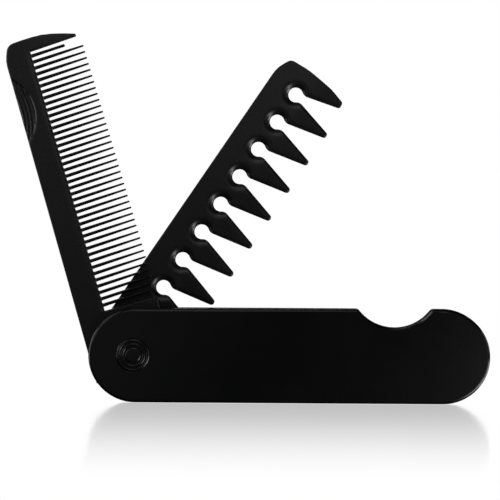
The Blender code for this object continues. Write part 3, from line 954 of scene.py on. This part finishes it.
white_acrylic, shader = bare_material("white_acrylic")
where = shader.node("ShaderNodeTexCoord", {}, {}, out="Object")
x, y, _ = shader.split(where)
beyond = shader.maths("MAXIMUM", shader.maths("ABSOLUTE", x) - FOOT_HALF_LENGTH, 0.0)
away = (beyond * beyond * MIRROR_END_SPREAD + y * y) ** 0.5
shine = shader.node("ShaderNodeFresnel", {}, {"IOR": ACRYLIC_IOR}) * MIRROR_SHARE
shine = shine * (1 - away.ramp(0.0, MIRROR_REACH))
shine = shine * (UNDER_SHARE + (1 - UNDER_SHARE) * away.ramp(*UNDER_EDGE))
glow = shader.node("ShaderNodeEmission", {}, {"Color": WHITE, "Strength": 1.0})
mirror = shader.node("ShaderNodeBsdfGlossy", {}, {"Color": WHITE, "Roughness": MIRROR_ROUGHNESS})
mixed = shader.node("ShaderNodeMixShader", {}, {0: shine, 1: glow, 2: mirror})
shader.node("ShaderNodeOutputMaterial", {}, {"Surface": mixed})
table.data.materials.append(white_acrylic)
table.visible_diffuse = False
table.visible_glossy = False
table.visible_shadow = False

# The room: pure white where it is seen directly and dark in the comb's own reflections. A white dome that
# shines on the table alone keeps the table's mirror white all round.
ROOM_DARK = 0.02
DOME_RADIUS = 3.5
room = bpy.data.worlds.new("room")
room.use_nodes = True
room.node_tree.nodes.clear()
bpy.context.scene.world = room
shader = Shader(room.node_tree)
dim = shader.node("ShaderNodeBackground", {}, {"Color": WHITE, "Strength": ROOM_DARK})
pure = shader.node("ShaderNodeBackground", {}, {"Color": WHITE, "Strength": 1.0})
seen = shader.node("ShaderNodeLightPath", {}, {}, out="Is Camera Ray")
shown = shader.node("ShaderNodeMixShader", {}, {0: seen, 1: dim, 2: pure})
shader.node("ShaderNodeOutputWorld", {}, {"Surface": shown})
shell = bmesh.new()
bmesh.ops.create_uvsphere(shell, u_segments=32, v_segments=16, radius=DOME_RADIUS)
dome = finished("white_dome", shell)
dome_white, shader = bare_material("dome_white")
glow = shader.node("ShaderNodeEmission", {}, {"Color": WHITE, "Strength": 1.0})
shader.node("ShaderNodeOutputMaterial", {}, {"Surface": glow})
dome_white.cycles.emission_sampling = "NONE"
dome.data.materials.append(dome_white)
dome.visible_camera = False
dome.visible_diffuse = False
dome.visible_shadow = False
lit = bpy.data.collections.new("lit_by_dome")
lit.objects.link(table)
dome.light_linking.receiver_collection = lit

# The lamps: soft boxes at the left and the right, the strongest low at the right, which draw the rims and the
# bright spots at the holes, dim ones in front and above for the flat faces, and three behind for the back.
AIM = Vector((0.0, 0.0, 0.04))

# Rows of (name, place, size towards the comb's depth, size across it, radiance)
LAMPS = (
    ("left_side", (-0.30, -0.01, 0.06), 0.22, 0.20, 1.9),
    ("left_above", (-0.25, 0.0, 0.30), 0.18, 0.18, 1.6),
    ("left_front", (-0.20, -0.26, 0.12), 0.14, 0.14, 1.0),
    ("low_right_front", (0.25, -0.30, -0.20), 0.26, 0.14, 5.0),
    ("right_side", (0.42, -0.05, -0.15), 0.27, 0.25, 5.8),
    ("right_above", (0.42, 0.0, 0.12), 0.20, 0.20, 1.8),
    ("front_far", (0.01, -0.45, 0.17), 0.16, 0.16, 0.52),
    ("front_above", (-0.02, -0.34, 0.30), 0.20, 0.20, 0.8),
    ("front_right", (0.13, -0.28, -0.01), 0.10, 0.10, 0.6),
    ("front_left", (-0.10, -0.35, 0.02), 0.12, 0.12, 0.09),
    ("above", (0.0, -0.09, 0.42), 0.20, 0.20, 0.25),
    ("behind_above", (-0.06, 0.45, 0.17), 0.18, 0.18, 1.2),
    ("behind_right", (0.13, 0.28, -0.01), 0.12, 0.12, 0.9),
    ("behind_left", (-0.14, 0.32, 0.03), 0.12, 0.12, 0.7),
)
for name, place, deep, across, radiance in LAMPS:
    lamp = bpy.data.lights.new(name, "AREA")
    lamp.shape = "RECTANGLE"
    lamp.size = deep
    lamp.size_y = across
    lamp.energy = radiance * math.pi * deep * across
    held = bpy.data.objects.new(name, lamp)
    back = (Vector(place) - AIM).normalized()
    depthwise = (Vector((0.0, 1.0, 0.0)) - back * back.y).normalized()
    turn = Matrix((depthwise, back.cross(depthwise), back)).transposed().to_4x4()
    held.matrix_world = Matrix.Translation(place) @ turn
    held.visible_camera = False
    bpy.context.scene.collection.objects.link(held)

# The camera: a long lens a little above the case, rolled by less than half a degree as in the photograph.
LENS_MM = 300.0
SENSOR_MM = 36.0
CAMERA_DISTANCE = 1.25
CAMERA_ELEVATION = math.radians(1.2)
CAMERA_ROLL = math.radians(0.37)
LOOK_AT = Vector((-11.94 * MM, 0.0, 45.68 * MM))
lens = bpy.data.cameras.new("camera")
lens.lens = LENS_MM
lens.sensor_width = SENSOR_MM
lens.clip_end = 20.0
camera = bpy.data.objects.new("camera", lens)
back_off = Vector((0.0, -math.cos(CAMERA_ELEVATION), math.sin(CAMERA_ELEVATION))) * CAMERA_DISTANCE
tilt = Matrix.Rotation(math.pi / 2 - CAMERA_ELEVATION, 4, "X") @ Matrix.Rotation(CAMERA_ROLL, 4, "Z")
camera.matrix_world = Matrix.Translation(LOOK_AT + back_off) @ tilt
bpy.context.scene.collection.objects.link(camera)
bpy.context.scene.camera = camera
bpy.context.scene.view_settings.view_transform = "Standard"

bpy.context.view_layer.update()
